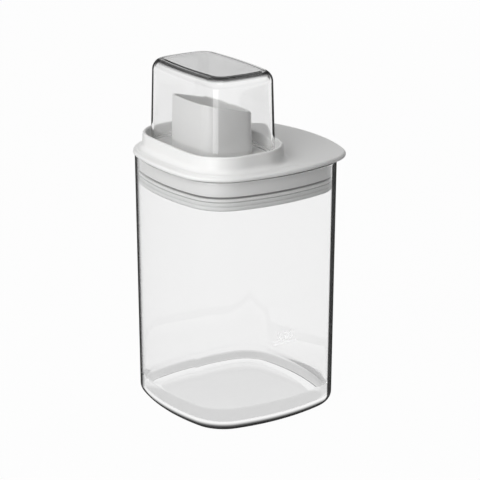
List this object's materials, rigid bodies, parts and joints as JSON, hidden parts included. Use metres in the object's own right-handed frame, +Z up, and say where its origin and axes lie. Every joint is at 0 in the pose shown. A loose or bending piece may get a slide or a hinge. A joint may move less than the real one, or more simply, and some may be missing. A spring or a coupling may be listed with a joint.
{
  "type": "detergent dispenser bottle",
  "caption": "Clear square laundry detergent container with a white push-in lid, a pouring spout and a clear measuring cup that covers the spout.",
  "frame": {"origin": "centre of the container's flat base, on the surface it stands on", "axes": "+Z up, -Y the pouring side, where the spout is highest, +Y the lifting lip of the lid; left and right are alike"},
  "size_m": [0.1008, 0.1091, 0.1978],
  "materials": {
    "clear_container": "clear moulded plastic, polished, no tint",
    "white_lid": "white moulded polypropylene, satin",
    "white_spout": "off-white moulded polypropylene, satin",
    "white_plug": "white moulded polypropylene, satin",
    "silicone_seal": "translucent silicone rubber, matt",
    "clear_cup": "clear moulded plastic, polished, no tint"
  },
  "bodies": {
    "container": {"container": "clear_container"},
    "lid": {"lid_cover": "white_lid", "spout": "white_spout", "lid_plug": "white_plug", "lid_seal": "silicone_seal"},
    "cup": {"measuring_cup": "clear_cup"}
  },
  "joints": [
    {"name": "lid_lift", "type": "slide", "parent": "container", "child": "lid", "axis": [0, 0, 1], "range_m": [0, 0.04]},
    {"name": "cup_lift", "type": "slide", "parent": "lid", "child": "cup", "axis": [0, 0, 1], "range_m": [0, 0.05]}
  ]
}
